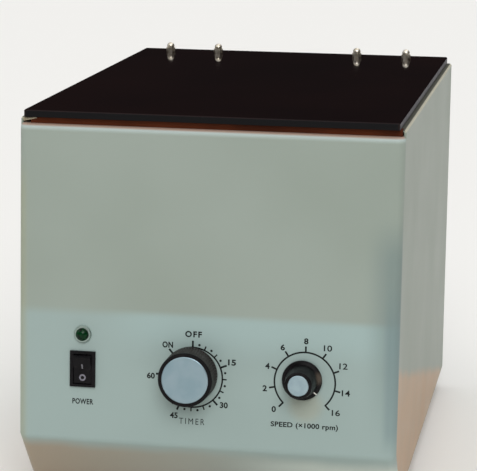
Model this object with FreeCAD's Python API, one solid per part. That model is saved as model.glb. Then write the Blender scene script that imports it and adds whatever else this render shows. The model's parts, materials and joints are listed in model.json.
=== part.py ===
import FreeCAD, Part
import math
import os

os.makedirs("parts", exist_ok=True)

V = FreeCAD.Vector
TAN = lambda degrees: math.tan(math.radians(degrees))
COS = lambda degrees: math.cos(math.radians(degrees))
SIN = lambda degrees: math.sin(math.radians(degrees))

# A benchtop centrifuge for small tubes, in millimetres.
# X runs to the right of someone facing the controls, Y from the front to the back, Z up.
# The origin is on the bench, under the middle of the closed machine.

# The case is folded from sheet steel: a front, two sides, a rear, a base and a top deck.
CASE_HALF = 110.0
SHEET = 1.2
FRONT_Y = -145.4
REAR_Y = 162.6
BASE_Z = 12.0
BEND_Z = 45.0
FRONT_TOP_Z = 227.4
SIDE_TOP_Z = 230.8
PANEL_TILT = 3.0
KICK_BACK = 27.0
CORNER_R = 5.0
TOP_BEND_R = 2.6
LOW_BEND_R = 3.0
SIDE_BEND_R = 1.8
SEAM = 0.2
BEND_Y = FRONT_Y - (FRONT_TOP_Z - BEND_Z) * TAN(PANEL_TILT)
FLOOR_Z = BASE_Z + SHEET
FLOOR_T = 1.5
FLOOR_TOP = FLOOR_Z + FLOOR_T
DECK_T = 1.5
DECK_TOP = SIDE_TOP_Z - SHEET
DECK_Z = DECK_TOP - DECK_T

# The chamber, the rotor and the motor share one upright axis.
AXIS_Y = 10.0
MOUTH_R = 84.0
BOWL_R = 90.0
BOWL_WALL = 1.0
BOWL_ARC = 12.0
BOWL_FLOOR = 158.0
ROTOR_Z = 164.0
ROTOR_R = 68.0
WELL_COUNT = 12
WELL_R = 5.6
WELL_DEPTH = 36.0
WELL_MOUTH_R = 34.0
WELL_LEAN = 45.0
SHAFT_R = 4.0
MOTOR_R = 46.0
CAN_WALL = 3.0
PLATE_Z = 32.7
PLATE_T = 3.0
MOTOR_Z = PLATE_Z + PLATE_T
BRUSH_Z = MOTOR_Z + 18.0
CAN_Z0 = MOTOR_Z + 15.0
CAN_Z1 = MOTOR_Z + 82.0
SHOCK_PITCH = 52.0

# The lid is a plain sheet on two butt hinges, whose knuckles stand behind the rear panel. In
# front it rests on a rubber bar.
SEAL_LEFT = -103.6
SEAL_RIGHT = CASE_HALF - SIDE_BEND_R - 0.1
LID_HALF = 107.0
LID_Z = 231.2
LID_T = 4.0
HINGE_MID = -3.0
HINGE_X = 65.7
HINGE_LEN = 50.0
HINGE_R = 3.5
HINGE_LEAF = 1.2
KNUCKLE = 9.8
PIN_R = 1.5
NUT_PITCH = 34.0
NUT_Y = REAR_Y - 15.5
PIVOT_Y = REAR_Y + HINGE_R
PIVOT_Z = LID_Z - HINGE_R

# Places on the front panel: U across, V up the slope from its lower bend. Then the turn and
# the cross pin of the rocker, and the radii of the lamp's and the knobs' round pieces.
SWITCH_U, SWITCH_V = -71.5, 42.2
LAMP_U, LAMP_V = -71.6, 62.6
TIMER_U, TIMER_V = -8.2, 42.9
SPEED_U, SPEED_V = 56.1, 43.3
ROCKER_TURN = 12.0
ROCKER_PIVOT = 1.0
LENS_R = 3.8
LAMP_TUBE_R = 4.2
TIMER_CAP_R = 13.4
SPEED_CAP_R = 5.9

# The four feet stand in a rectangle.
FOOT_X = 94.0
FOOT_FRONT_Y = BEND_Y + KICK_BACK + 18.0
FOOT_REAR_Y = REAR_Y - 20.0
FOOT_H = BASE_Z

# The mains inlet and the fuse sit low in the rear panel.
INLET_X, INLET_Z = 62.0, 52.0
FUSE_X, FUSE_Z = 26.0, 52.0
PIN_PLACES = ((-7.0, -1.5), (7.0, -1.5), (0.0, 2.5))

# The control board stands on a bracket at the left side of the motor.
BOARD_X = -96.0
BOARD_T = 1.6

# Radial clearance of a shaft that turns in its hole.
CLEAR = 0.05


def box(x0, x1, y0, y1, z0, z1):
    return Part.makeBox(x1 - x0, y1 - y0, z1 - z0, V(x0, y0, z0))


def upright(r, z0, z1, x=0.0, y=0.0):
    return Part.makeCylinder(r, z1 - z0, V(x, y, z0), V(0, 0, 1))


def along_y(r, y0, y1, x, z):
    return Part.makeCylinder(r, y1 - y0, V(x, y0, z), V(0, 1, 0))


def along_x(r, x0, x1, y, z):
    return Part.makeCylinder(r, x1 - x0, V(x0, y, z), V(1, 0, 0))


def sideways(r, near, far, side, y, z):
    # A bar along X on one side of the middle, from its near end to its far end.
    return along_x(r, min(side * near, side * far), max(side * near, side * far), y, z)


def side_box(near, far, side, y0, y1, z0, z1):
    return box(min(side * near, side * far), max(side * near, side * far), y0, y1, z0, z1)


def prism_yz(points, x0, x1):
    face = Part.Face(Part.makePolygon([V(x0, y, z) for y, z in points + points[:1]]))
    return face.extrude(V(x1 - x0, 0, 0))


def prism_xz(points, y0, y1):
    face = Part.Face(Part.makePolygon([V(x, y0, z) for x, z in points + points[:1]]))
    return face.extrude(V(0, y1 - y0, 0))


def turned(points, x=0.0, y=0.0):
    # A solid of revolution about an upright line; each point is a radius and a height.
    face = Part.Face(Part.makePolygon([V(r, 0, z) for r, z in points + points[:1]]))
    solid = face.revolve(V(0, 0, 0), V(0, 0, 1), 360)
    solid.translate(V(x, y, 0))
    return solid


def hexagon(flats, z0, z1, x=0.0, y=0.0):
    r = flats / math.sqrt(3)
    corners = [V(x + r * COS(60 * k), y + r * SIN(60 * k), z0) for k in range(6)]
    return Part.Face(Part.makePolygon(corners + corners[:1])).extrude(V(0, 0, z1 - z0))


def around(tool, count, first=0.0, y=0.0):
    # Copies of a tool, evenly spaced about an upright axis.
    copies = []
    for k in range(count):
        one = tool.copy()
        one.rotate(V(0, 0, 0), V(0, 0, 1), first + 360.0 / count * k)
        one.translate(V(0, y, 0))
        copies.append(one)
    return copies


def without(shape, tools):
    for tool in tools:
        shape = shape.cut(tool)
    return shape


def joined(shape, others):
    for other in others:
        shape = shape.fuse(other)
    return shape


def separate(shapes):
    # Pieces of one kind that don't touch, kept as separate solids.
    return Part.makeCompound(shapes)


def middle(edge):
    return edge.valueAt((edge.FirstParameter + edge.LastParameter) / 2)


def ends(edge):
    return edge.Vertexes[0].Point, edge.Vertexes[-1].Point


def rounded(shape, radius, choose):
    return shape.makeFillet(radius, [e for e in shape.Edges if choose(e)])


def is_upright(edge):
    a, b = ends(edge)
    return abs(a.x - b.x) < 1e-6 and abs(a.y - b.y) < 1e-6 and abs(a.z - b.z) > 1e-6


def plate(x0, x1, y0, y1, z0, z1, corner):
    return rounded(box(x0, x1, y0, y1, z0, z1), corner, is_upright)


def faces_front(shape):
    # A part modelled standing up, laid over so that its top faces the user.
    out = shape.copy()
    out.rotate(V(0, 0, 0), V(1, 0, 0), 90)
    return out


def faces_rear(shape, x, y, z):
    out = shape.copy()
    out.rotate(V(0, 0, 0), V(1, 0, 0), -90)
    out.translate(V(x, y, z))
    return out


def faces_down(shape, x, y, z):
    out = shape.copy()
    out.rotate(V(0, 0, 0), V(1, 0, 0), 180)
    out.translate(V(x, y, z))
    return out


def on_panel(shape, u=0.0, v=0.0):
    # Sets a part on the sloping front: its y = 0 lies on the outer face, -y points at the user.
    out = shape.copy()
    out.translate(V(u, 0, v))
    out.rotate(V(0, 0, 0), V(1, 0, 0), -PANEL_TILT)
    out.translate(V(0, BEND_Y, BEND_Z))
    return out


def pan_screw(r, length, head_r, head_h):
    # A cross-slotted pan head screw: its head's underside at z = 0, its shank going down.
    head = turned([(0, 0), (head_r, 0), (head_r, head_h * 0.45), (head_r * 0.72, head_h), (0, head_h)])
    reach = head_r * 0.62
    slots = [box(-reach, reach, -0.35, 0.35, head_h * 0.5, head_h + 1),
             box(-0.35, 0.35, -reach, reach, head_h * 0.5, head_h + 1)]
    return without(head.fuse(upright(r, -length, 0)), slots)


# The case's sheet metal

def front_outline(inset):
    # Side view of the front's outer skin, moved inwards: top, knee and lower end.
    knee_n = V(COS(PANEL_TILT), -SIN(PANEL_TILT), 0)
    drop = BEND_Z - BASE_Z
    slope = math.hypot(drop, KICK_BACK)
    kick_n = V(drop / slope, KICK_BACK / slope, 0)
    knee = (knee_n + kick_n) * (inset / (1 + knee_n.dot(kick_n)))
    top_z = FRONT_TOP_Z - inset
    top_y = BEND_Y + (top_z - BEND_Z) * TAN(PANEL_TILT) + inset / COS(PANEL_TILT)
    low_z = BASE_Z + inset
    low_y = BEND_Y + (BEND_Z - low_z) * KICK_BACK / drop + inset * slope / drop
    return [(top_y, top_z), (BEND_Y + knee.x, BEND_Z + knee.y), (low_y, low_z)]


def front_block(inset):
    # The front's outer volume, with its bends and its corners rounded.
    corners = front_outline(inset)
    half = CASE_HALF - inset
    back = FRONT_Y + 40.0
    block = prism_yz([(back, corners[0][1])] + corners + [(back, corners[2][1])], -half, half)

    def at_corner(edge, k):
        mid = middle(edge)
        return abs(mid.x) < 1e-4 and abs(mid.y - corners[k][0]) < 1e-3 and abs(mid.z - corners[k][1]) < 1e-3

    def on_side(edge):
        mid = middle(edge)
        a, b = ends(edge)
        if abs(abs(mid.x) - half) > 1e-4 or abs(a.z - b.z) < 1e-6:
            return False
        return abs(a.y - b.y) < 60 and mid.y < FRONT_Y + 20

    block = rounded(block, CORNER_R - inset, lambda e: on_side(e) or at_corner(e, 1))
    block = rounded(block, TOP_BEND_R - inset, lambda e: at_corner(e, 0))
    return rounded(block, LOW_BEND_R - inset, lambda e: at_corner(e, 2))


def front_strip(depth):
    # Side view of everything that lies within a depth of the front's outer skin.
    top, knee, low = front_outline(-1.0)
    in_top, in_knee, in_low = front_outline(depth)
    points = [(top[0] - 2, top[1]), (knee[0] - 2, knee[1]), (low[0] - 2, low[1]), (low[0] - 2, BASE_Z - 3)]
    points += [(in_low[0], BASE_Z - 3), in_low, in_knee, in_top]
    points += [(in_top[0] + 0.6, FRONT_TOP_Z + 3), (top[0] - 2, FRONT_TOP_Z + 3)]
    return points


def front_panel():
    # One sheet: sloping face, kick below it, a return along the top, the base and both sides.
    skin = front_block(0.0).cut(front_block(SHEET))
    sides = prism_yz(front_strip(CORNER_R), -CASE_HALF - 1, CASE_HALF + 1)
    flat = CASE_HALF - CORNER_R - 1
    top = box(-flat, flat, FRONT_Y - 1, FRONT_Y + 12, FRONT_TOP_Z - 3, FRONT_TOP_Z + 1)
    low = box(-79.5, 79.5, BEND_Y, BEND_Y + KICK_BACK + 14, BASE_Z - 1, BASE_Z + 2)
    panel = skin.common(sides.fuse(top).fuse(low))
    holes = [on_panel(box(-6.6, 6.6, -5, 5, -9.6, 9.6), SWITCH_U, SWITCH_V),
             on_panel(along_y(LAMP_TUBE_R + 0.1, -5, 5, LAMP_U, LAMP_V)),
             on_panel(along_y(5.05, -5, 5, TIMER_U, TIMER_V)),
             on_panel(along_y(3.6, -5, 5, SPEED_U, SPEED_V))]
    return without(panel, holes)


def side_outline():
    # Side view of a side panel: its front edge runs just behind the front's corner bend.
    top, knee, low = front_outline(CORNER_R + SEAM)
    lean = (low[0] - knee[0]) / (low[1] - knee[1])
    upper = (top[0] + (SIDE_TOP_Z - top[1]) * TAN(PANEL_TILT), SIDE_TOP_Z + 1)
    lower = (low[0] + (BASE_Z - 1 - low[1]) * lean, BASE_Z - 1)
    return [upper, knee, lower, (REAR_Y, BASE_Z - 1), (REAR_Y, SIDE_TOP_Z + 1)]


def side_panel(side):
    # A channel: the upright sheet, a rounded bend into the top flange and one into the base flange.
    def bent(shape, radius, x, z):
        def long_edge(edge):
            mid = middle(edge)
            return abs(mid.x - x) < 1e-4 and abs(mid.z - z) < 1e-4 and abs(mid.y) < 1e-4
        return rounded(shape, radius, long_edge)

    outer = box(60, CASE_HALF, -200, 200, BASE_Z, SIDE_TOP_Z)
    outer = bent(outer, SIDE_BEND_R, CASE_HALF, SIDE_TOP_Z)
    outer = bent(outer, 2.0, CASE_HALF, BASE_Z)
    inner_x = CASE_HALF - SHEET
    inner = box(59, inner_x, -201, 201, BASE_Z + SHEET, SIDE_TOP_Z - SHEET)
    inner = bent(inner, SIDE_BEND_R - SHEET, inner_x, SIDE_TOP_Z - SHEET)
    inner = bent(inner, 0.8, inner_x, BASE_Z + SHEET)
    channel = outer.cut(inner)
    trims = [box(50, 96, -201, 201, SIDE_TOP_Z - 5, SIDE_TOP_Z + 1),
             box(50, CASE_HALF - SIDE_BEND_R, -201, FRONT_Y + 10.4, SIDE_TOP_Z - 5, SIDE_TOP_Z + 1),
             box(50, 80, -201, 201, BASE_Z - 1, BASE_Z + 5)]
    panel = without(channel, trims).common(prism_yz(side_outline(), 50, CASE_HALF + 1))
    holes = [upright(2.2, BASE_Z - 1, BASE_Z + 5, FOOT_X, y) for y in (FOOT_FRONT_Y, FOOT_REAR_Y)]
    holes += [upright(1.7, BASE_Z - 1, BASE_Z + 5, 88, y) for y in (-60.0, 60.0)]
    panel = without(panel, holes)
    if side < 0:
        panel = panel.mirror(V(0, 0, 0), V(1, 0, 0))
    return panel


def rear_screw_places():
    # Across and height of each screw in the rear panel: hinges, inlet, then the panel's own.
    hinge = [(x + d, PIVOT_Z - 16.0) for x in hinge_xs() for d in (-15, 15)]
    inlet = [(INLET_X - 20, INLET_Z), (INLET_X + 20, INLET_Z)]
    edge = [(s * 100.0, z) for s in (-1, 1) for z in (40.0, 190.0)]
    return hinge + inlet + edge


def rear_panel():
    # A sheet with a flange on each edge, two columns of vents, and holes for its fittings.
    half = CASE_HALF - SHEET - SEAM
    back, front = REAR_Y + 1, REAR_Y - 3
    panel = box(-half, half, REAR_Y - SHEET, REAR_Y, BASE_Z, DECK_Z)
    flanges = [side_box(half - SHEET, half, s, REAR_Y - 12, REAR_Y, FLOOR_TOP + 0.3, DECK_Z - SHEET - 0.5)
               for s in (-1, 1)]
    flanges.append(box(-90, 90, REAR_Y - 12, REAR_Y, DECK_Z - SHEET, DECK_Z))
    flanges.append(box(-79.5, 79.5, REAR_Y - 12, REAR_Y, BASE_Z, FLOOR_Z))
    panel = joined(panel, flanges)
    holes = [side_box(79.6, 120, s, front, back, BASE_Z - 1, FLOOR_TOP + 0.3) for s in (-1, 1)]
    for row in range(7):
        z = 100.0 + 10.0 * row
        for x in (-48.0, 48.0):
            slot = box(x - 26, x + 26, front, back, z - 1.75, z + 1.75)
            holes.append(joined(slot, [along_y(1.75, front, back, x + d, z) for d in (-26, 26)]))
    holes.append(box(INLET_X - 14, INLET_X + 14, front, back, INLET_Z - 10, INLET_Z + 10))
    holes.append(along_y(6.1, front, back, FUSE_X, FUSE_Z))
    holes += [along_y(1.5, front, back, x, z) for x, z in rear_screw_places()]
    return without(panel, holes)


def foot_places():
    return [(s * FOOT_X, y) for s in (-1, 1) for y in (FOOT_FRONT_Y, FOOT_REAR_Y)]


def shock_places():
    return [(x, AXIS_Y + dy) for x in (-SHOCK_PITCH, SHOCK_PITCH) for dy in (-SHOCK_PITCH, SHOCK_PITCH)]


def base_plate():
    # The floor: bosses for the feet, holes for the motor's mounts, slots for the cooling air.
    half = CASE_HALF - SHEET - 1.0
    front = BEND_Y + KICK_BACK + 2.5
    low, high = FLOOR_Z - 1, FLOOR_TOP + 1
    panel = box(-half, half, front, REAR_Y - SHEET - SEAM, FLOOR_Z, FLOOR_TOP)
    panel = joined(panel, [upright(4.5, FLOOR_TOP, FLOOR_TOP + 4, x, y) for x, y in foot_places()])
    holes = [upright(2.0, low, FLOOR_TOP + 5, x, y) for x, y in foot_places()]
    holes += [upright(1.5, low, high, s * 88, y) for s in (-1, 1) for y in (-60.0, 60.0)]
    holes += [upright(2.6, low, high, x, y) for x, y in shock_places()]
    for row in range(6):
        y = AXIS_Y - 25 + 10 * row
        slot = box(-24, 24, y - 2, y + 2, low, high)
        holes.append(joined(slot, [upright(2, low, high, x, y) for x in (-24, 24)]))
    return without(panel, holes)


def hinge_xs():
    # The two hinges stand a little left of the middle.
    return [HINGE_MID - HINGE_X, HINGE_MID + HINGE_X]


def nut_xs():
    return [x + d for x in hinge_xs() for d in (-NUT_PITCH / 2, NUT_PITCH / 2)]


def top_deck():
    # The sheet under the lid, with the chamber's mouth and pockets for the lid's screw heads.
    half = CASE_HALF - SIDE_BEND_R - 0.1
    front = FRONT_Y + 12.4
    deck = box(-half, half, front, REAR_Y, DECK_Z, DECK_TOP)
    deck = deck.fuse(box(-100, 100, front, front + SHEET, DECK_Z - 12, DECK_Z))
    holes = [upright(MOUTH_R, DECK_Z - 1, DECK_TOP + 1, 0, AXIS_Y)]
    holes += [upright(4.2, DECK_Z - 1, DECK_TOP + 1, x, NUT_Y) for x in nut_xs()]
    return without(deck, holes)


def lid_front_seal():
    # A rubber bar glued on the front's top return, for the lid to rest on. Its right end meets
    # the side panel, and its left end stops short of the other.
    bar = box(SEAL_LEFT, SEAL_RIGHT, FRONT_Y + 2.8, FRONT_Y + 9.8, FRONT_TOP_Z, LID_Z - 0.2)

    def top_edge(edge):
        a, b = ends(edge)
        return abs(a.x - b.x) > 1 and edge.BoundBox.ZMin > LID_Z - 1

    return rounded(bar, 0.8, top_edge)


# The chamber

def chamber_bowl():
    # A spun stainless bowl: a flange under the deck, a straight wall, a round foot, and a
    # raised hole in its floor for the shaft's gland.
    centre_r, centre_z = BOWL_R - BOWL_ARC, BOWL_FLOOR + BOWL_ARC

    def foot(radius):
        return [(centre_r + radius * COS(11.25 * k), centre_z - radius * SIN(11.25 * k)) for k in range(9)]

    outer_r = BOWL_R + BOWL_WALL
    points = [(BOWL_R, DECK_Z), (BOWL_R + 8, DECK_Z), (BOWL_R + 8, DECK_Z - BOWL_WALL)]
    points += [(outer_r, DECK_Z - BOWL_WALL)] + foot(BOWL_ARC + BOWL_WALL)
    points += [(26, BOWL_FLOOR - BOWL_WALL), (24, BOWL_FLOOR + 2), (14, BOWL_FLOOR + 2)]
    points += [(14, BOWL_FLOOR + 2 + BOWL_WALL), (25, BOWL_FLOOR + 2 + BOWL_WALL), (27, BOWL_FLOOR)]
    points += foot(BOWL_ARC)[::-1]
    return turned(points, 0, AXIS_Y)


def chamber_mouth_trim():
    # A rubber channel pushed over the raw edge of the deck's hole.
    r, top, low = MOUTH_R, DECK_TOP, DECK_Z
    points = [(r - 1.5, top + 0.9), (r - 1.1, top + 1.3), (r + 4.5, top + 1.3), (r + 4.5, top)]
    points += [(r, top), (r, low), (r + 4.5, low), (r + 4.5, low - 1.2)]
    points += [(r - 1.1, low - 1.2), (r - 1.5, low - 0.8)]
    return turned(points, 0, AXIS_Y)


def shaft_gland():
    # A rubber boot that closes the bowl's floor around the turning shaft.
    z = BOWL_FLOOR + 2
    points = [(6.0, z - 12), (8.0, z - 12), (9.5, z - 8), (8.0, z - 5), (14.0, z - 2.5)]
    points += [(18.0, z - 2.5), (18.0, z), (14.0, z), (14.0, z + 1), (17.0, z + 1)]
    points += [(17.0, z + 2.2), (9.0, z + 2.2), (6.0, z + 0.5)]
    return turned(points, 0, AXIS_Y)


# The motor and what it turns

def motor_plate():
    sheet = plate(-65, 65, AXIS_Y - 65, AXIS_Y + 65, PLATE_Z, MOTOR_Z, 10)
    holes = [upright(18, PLATE_Z - 1, MOTOR_Z + 1, 0, AXIS_Y)]
    holes += [upright(2.6, PLATE_Z - 1, MOTOR_Z + 1, x, y) for x, y in shock_places()]
    return without(sheet, holes)


def shock_mounts():
    # Four waisted rubber blocks, each with its stud and nut bonded in, carry the motor's plate.
    mounts = []
    waist = [(0, FLOOR_TOP), (10, FLOOR_TOP), (10, FLOOR_TOP + 3), (7.5, FLOOR_TOP + 9)]
    waist += [(10, PLATE_Z - 3), (10, PLATE_Z), (0, PLATE_Z)]
    for x, y in shock_places():
        stud = upright(2.5, FLOOR_Z + 0.1, PLATE_Z + 8, x, y)
        nut = hexagon(8.0, MOTOR_Z, MOTOR_Z + 4, x, y)
        mounts.append(turned(waist, x, y).fuse(stud).fuse(nut))
    return separate(mounts)


def brush_holes():
    return [sideways(5.05, 30, 60, s, AXIS_Y, BRUSH_Z) for s in (-1, 1)]


def motor_end_bell_lower():
    # A cast cup with a seat for the lower bearing and eight air holes in its floor.
    z, r = MOTOR_Z, MOTOR_R
    points = [(0, z), (r, z), (r, z + 15), (r - CAN_WALL, z + 15), (r - CAN_WALL, z + 3)]
    points += [(13, z + 3), (13, z + 10), (0, z + 10)]
    cup = turned(points, 0, AXIS_Y).cut(upright(11, z + 3, z + 11, 0, AXIS_Y))
    return without(cup, brush_holes() + around(upright(4, z - 1, z + 4, 28, 0), 8, 22.5, AXIS_Y))


def motor_can():
    r = MOTOR_R
    tube = turned([(r - CAN_WALL, CAN_Z0), (r, CAN_Z0), (r, CAN_Z1), (r - CAN_WALL, CAN_Z1)], 0, AXIS_Y)
    return without(tube, brush_holes())


def motor_end_bell_upper():
    # A cast cap with a nose that holds the upper bearing, and six air holes.
    z, r = CAN_Z1, MOTOR_R
    points = [(r, z), (r, z + 8), (r - 8, z + 14), (17, z + 14), (15, z + 24), (5.5, z + 24)]
    points += [(5.5, z + 22), (11, z + 22), (11, z + 14), (13, z + 11), (r - 9, z + 11)]
    points += [(r - CAN_WALL, z + 6), (r - CAN_WALL, z)]
    bell = turned(points, 0, AXIS_Y)
    return without(bell, around(upright(5, z + 8, z + 16, 29, 0), 6, 0, AXIS_Y))


def motor_stator():
    z0, z1, r = MOTOR_Z + 34, MOTOR_Z + 70, MOTOR_R - CAN_WALL
    return turned([(25.0, z0), (r, z0), (r, z1), (25.0, z1)], 0, AXIS_Y)


def motor_windings():
    # The field coils' ends, which stand out above and below the stator.
    coils = []
    for z in (MOTOR_Z + 26, MOTOR_Z + 70):
        outside = [(28, z), (37, z), (39, z + 2), (39, z + 6), (37, z + 8)]
        inside = [(28, z + 8), (26, z + 6), (26, z + 2)]
        coils.append(turned(outside + inside, 0, AXIS_Y))
    return separate(coils)


def motor_bearings():
    inner = SHAFT_R + CLEAR / 2
    rings = []
    for z in (MOTOR_Z + 3, CAN_Z1 + 14.9):
        rings.append(turned([(inner, z), (11, z), (11, z + 7), (inner, z + 7)], 0, AXIS_Y))
    return separate(rings)


def brush_holders():
    holders = []
    for s in (-1, 1):
        tube = sideways(5.0, 15, 50, s, AXIS_Y, BRUSH_Z)
        cap = sideways(6.5, 46.3, 50, s, AXIS_Y, BRUSH_Z)
        slot = side_box(14, 44, s, AXIS_Y - 2.6, AXIS_Y + 2.6, BRUSH_Z - 2.6, BRUSH_Z + 2.6)
        holders.append(tube.fuse(cap).cut(slot))
    return separate(holders)


def carbon_brushes():
    # Two bars whose inner ends are worn to the commutator's curve.
    bars = []
    for s in (-1, 1):
        bar = side_box(11, 30, s, AXIS_Y - 2.5, AXIS_Y + 2.5, BRUSH_Z - 2.5, BRUSH_Z + 2.5)
        bars.append(bar.cut(upright(13.05, BRUSH_Z - 8, BRUSH_Z + 8, 0, AXIS_Y)))
    return separate(bars)


def motor_shaft():
    # One shaft from the lower bearing up to the rotor, with a collar that the rotor sits on.
    shaft = upright(SHAFT_R, MOTOR_Z + 3.2, ROTOR_Z + 33, 0, AXIS_Y)
    return shaft.fuse(upright(5.2, ROTOR_Z - 3, ROTOR_Z, 0, AXIS_Y))


def commutator():
    z0, z1 = MOTOR_Z + 12, MOTOR_Z + 25
    ring = turned([(SHAFT_R, z0), (13, z0), (13, z1), (SHAFT_R, z1)], 0, AXIS_Y)
    return without(ring, around(box(12.2, 14, -0.25, 0.25, z0 - 1, z1 + 1), 18, 0, AXIS_Y))


def armature():
    z0, z1 = MOTOR_Z + 35, MOTOR_Z + 69
    core = turned([(SHAFT_R, z0), (24.4, z0), (24.4, z1), (SHAFT_R, z1)], 0, AXIS_Y)
    return without(core, around(box(18, 26, -1.2, 1.2, z0 - 1, z1 + 1), 12, 0, AXIS_Y))


def cooling_fan():
    # A disc with ten straight blades on its upper side.
    z = MOTOR_Z + 80
    points = [(SHAFT_R, z), (34, z), (34, z + 1.5), (9, z + 1.5), (9, z + 8), (SHAFT_R, z + 8)]
    return joined(turned(points, 0, AXIS_Y), around(box(12, 33, -0.7, 0.7, z + 1, z + 8), 10, 0, AXIS_Y))


def rotor_head():
    # The angle rotor: a cone of alloy with twelve slanted wells and a dish for the tubes' caps.
    z = ROTOR_Z
    rim = WELL_MOUTH_R + 12
    points = [(SHAFT_R, z), (60, z), (66, z + 4), (ROTOR_R, z + 8), (ROTOR_R, z + 14)]
    points += [(rim + 3, z + rim - 1), (rim + 1.5, z + rim), (rim, z + rim), (20, z + 20)]
    points += [(13, z + 20), (13, z + 24), (SHAFT_R, z + 24)]
    well = upright(WELL_R, -WELL_DEPTH, 20)
    well.rotate(V(0, 0, 0), V(0, 1, 0), -WELL_LEAN)
    well.translate(V(WELL_MOUTH_R, 0, z + WELL_MOUTH_R))
    head = without(turned(points), around(well, WELL_COUNT))
    head.translate(V(0, AXIS_Y, 0))
    return head


def rotor_nut():
    # A fluted cap nut that clamps the rotor to its collar.
    z, top = ROTOR_Z + 24, ROTOR_Z + 33
    points = [(SHAFT_R, z), (10, z), (10, z + 7), (8.5, z + 8.5), (5, z + 12), (0, z + 12)]
    nut = turned(points + [(0, top), (SHAFT_R, top)], 0, AXIS_Y)
    return without(nut, around(upright(0.8, z + 1.2, z + 6.5, 10.2, 0), 16, 0, AXIS_Y))


# The lid and its hinges

def lid_plate():
    # A sheet of smoked acrylic with a fine chamfer around its top, drilled for four screws.
    sheet = plate(-LID_HALF, LID_HALF, FRONT_Y - 0.6, REAR_Y, LID_Z, LID_Z + LID_T, 1.5)
    sheet = sheet.makeChamfer(0.5, [e for e in sheet.Edges if e.BoundBox.ZMin > LID_Z + LID_T - 0.01])
    return without(sheet, [upright(1.6, LID_Z - 1, LID_Z + LID_T + 1, x, NUT_Y) for x in nut_xs()])


def hinge_lid_leaves():
    # The leaf under the lid: its middle knuckle turns on the pin.
    leaves = []
    for x in hinge_xs():
        under = LID_Z - HINGE_LEAF
        flat = plate(x - HINGE_LEN / 2, x + HINGE_LEN / 2, NUT_Y - 8, REAR_Y + 0.5, under, LID_Z, 2)
        tongue = box(x - KNUCKLE, x + KNUCKLE, REAR_Y - 1, PIVOT_Y, under, LID_Z)
        knuckle = along_x(HINGE_R, x - KNUCKLE, x + KNUCKLE, PIVOT_Y, PIVOT_Z)
        holes = [along_x(PIN_R + CLEAR, x - 11, x + 11, PIVOT_Y, PIVOT_Z)]
        holes += [upright(1.6, LID_Z - 3, LID_Z + 1, x + d, NUT_Y) for d in (-NUT_PITCH / 2, NUT_PITCH / 2)]
        leaves.append(without(flat.fuse(tongue).fuse(knuckle), holes))
    return separate(leaves)


def hinge_fixed_leaves():
    # The leaf on the rear panel: its two outer knuckles hold the pin.
    leaves = []
    for x in hinge_xs():
        x0, x1, gap = x - HINGE_LEN / 2, x + HINGE_LEN / 2, KNUCKLE + 0.4
        flat = box(x0, x1, REAR_Y, REAR_Y + HINGE_LEAF, PIVOT_Z - 22, PIVOT_Z)
        flat = flat.cut(box(x - gap, x + gap, REAR_Y - 1, REAR_Y + 3, PIVOT_Z - 4, PIVOT_Z + 1))
        knuckles = [along_x(HINGE_R, x0, x - gap, PIVOT_Y, PIVOT_Z),
                    along_x(HINGE_R, x + gap, x1, PIVOT_Y, PIVOT_Z)]
        holes = [along_x(PIN_R, x - 30, x + 30, PIVOT_Y, PIVOT_Z)]
        holes += [along_y(1.5, REAR_Y - 1, REAR_Y + 3, x + d, PIVOT_Z - 16) for d in (-15, 15)]
        leaves.append(without(joined(flat, knuckles), holes))
    return separate(leaves)


def hinge_pins():
    half = HINGE_LEN / 2
    return separate([along_x(PIN_R, x - half, x + half, PIVOT_Y, PIVOT_Z) for x in hinge_xs()])


def lid_screws():
    # Four screws from below, through the leaf and the lid into the acorn nuts.
    under = LID_Z - HINGE_LEAF
    profile = [(0, under - 1.8), (1.8, under - 1.8), (2.8, under - 1.0), (2.8, under), (0, under)]
    screws = []
    for x in nut_xs():
        screws.append(upright(1.5, under, LID_Z + LID_T + 3.5, x, NUT_Y).fuse(turned(profile, x, NUT_Y)))
    return separate(screws)


def lid_acorn_nuts():
    # Domed cap nuts, the size that fits a 3 mm screw.
    z = LID_Z + LID_T
    nuts = []
    for x in nut_xs():
        skirt = hexagon(5.5, z, z + 2.6, x, NUT_Y)
        neck = upright(2.6, z + 2.6, z + 3.6, x, NUT_Y)
        ball = Part.makeSphere(2.6, V(x, NUT_Y, z + 3.6)).common(upright(3, z + 3.6, z + 7, x, NUT_Y))
        nuts.append(skirt.fuse(neck.fuse(ball)).cut(upright(1.5, z - 1, z + 3.5, x, NUT_Y)))
    return separate(nuts)


# The controls on the front

def switch_housing():
    # A frame on the panel, a box behind it with a round-bottomed pocket, and three tags.
    frame = rounded(box(-7.5, 7.5, -1.6, 0, -10.5, 10.5), 0.6, lambda e: e.BoundBox.YMax < -1.5)
    body = box(-6.5, 6.5, 0, 13, -9.5, 9.5)
    swing = along_x(8.9, -6, 6, ROCKER_PIVOT, 0).fuse(box(-6, 6, -4, ROCKER_PIVOT, -8.9, 8.9))
    pocket = box(-5.5, 5.5, -3, 8.9, -8.9, 8.9).common(swing)
    pivot_hole = along_x(1.25, -6.1, 6.1, ROCKER_PIVOT, 0)
    housing = frame.fuse(body).cut(pocket).cut(pivot_hole)
    tags = [box(-2.4, 2.4, 13, 20, z - 0.4, z + 0.4) for z in (-6.0, 0.0, 6.0)]
    return on_panel(joined(housing, tags), SWITCH_U, SWITCH_V)


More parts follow.
